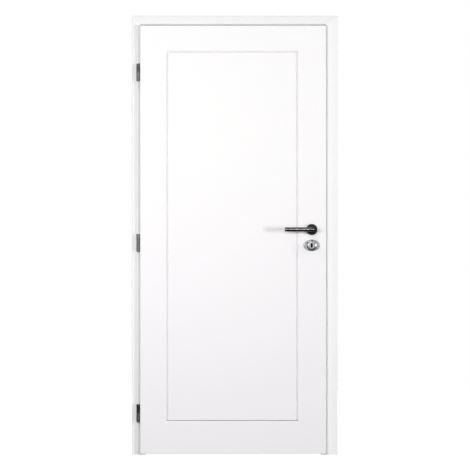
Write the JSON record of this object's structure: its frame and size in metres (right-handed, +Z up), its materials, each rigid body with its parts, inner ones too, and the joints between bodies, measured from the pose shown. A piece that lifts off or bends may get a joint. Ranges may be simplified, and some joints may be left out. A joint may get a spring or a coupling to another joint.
{
  "type": "interior door",
  "caption": "White rebated interior door leaf in its casing frame, hung on barrel hinges, with a black lever handle and an oval silver key plate.",
  "frame": {"origin": "on the wall side of the hinge jamb, at floor level and the middle of the wall's thickness", "axes": "+X from the hinge jamb to the lock jamb, +Y into the wall away from the side the leaf opens to, +Z up"},
  "size_m": [0.954, 0.2545, 2.0365],
  "materials": {
    "white_lacquer": "satin white lacquer on board",
    "core_board": "raw chipboard",
    "seal_rubber": "matt white seal",
    "hinge_steel": "matt nickel",
    "lock_steel": "satin zinc",
    "black_metal": "satin black",
    "silver_plate": "satin silver"
  },
  "bodies": {
    "frame": {"hinge_jamb": "white_lacquer", "lock_jamb": "white_lacquer", "head_jamb": "white_lacquer", "hinge_side_casing": "white_lacquer", "lock_side_casing": "white_lacquer", "head_casing": "white_lacquer", "back_hinge_side_casing": "white_lacquer", "back_lock_side_casing": "white_lacquer", "back_head_casing": "white_lacquer", "hinge_side_seal": "seal_rubber", "lock_side_seal": "seal_rubber", "head_seal": "seal_rubber", "strike_plate": "lock_steel", "top_hinge_frame_part": "hinge_steel", "middle_hinge_frame_part": "hinge_steel", "bottom_hinge_frame_part": "hinge_steel"},
    "leaf": {"front_skin": "white_lacquer", "back_skin": "white_lacquer", "hinge_stile": "white_lacquer", "lock_stile": "white_lacquer", "top_rail": "white_lacquer", "bottom_rail": "white_lacquer", "core": "core_board", "lock_case": "lock_steel", "lock_forend": "lock_steel", "latch_bolt": "lock_steel", "dead_bolt": "lock_steel", "top_hinge_leaf_part": "hinge_steel", "middle_hinge_leaf_part": "hinge_steel", "bottom_hinge_leaf_part": "hinge_steel", "front_rose": "black_metal", "back_rose": "black_metal", "front_key_plate": "silver_plate", "back_key_plate": "silver_plate"},
    "lever": {"front_lever": "black_metal", "back_lever": "black_metal", "spindle": "lock_steel"}
  },
  "joints": [
    {"name": "door_swing", "type": "hinge", "parent": "frame", "child": "leaf", "pos_m": [-0.0105, -0.10125, 0.9835], "axis": [0, 0, -1], "range_deg": [0, 170]},
    {"name": "lever_turn", "type": "hinge", "parent": "leaf", "child": "lever", "pos_m": [0.794, -0.0885, 1.045], "axis": [0, -1, 0], "range_deg": [0, 40], "stiffness_Nm_per_rad": 2, "springref_deg": -25.21}
  ]
}
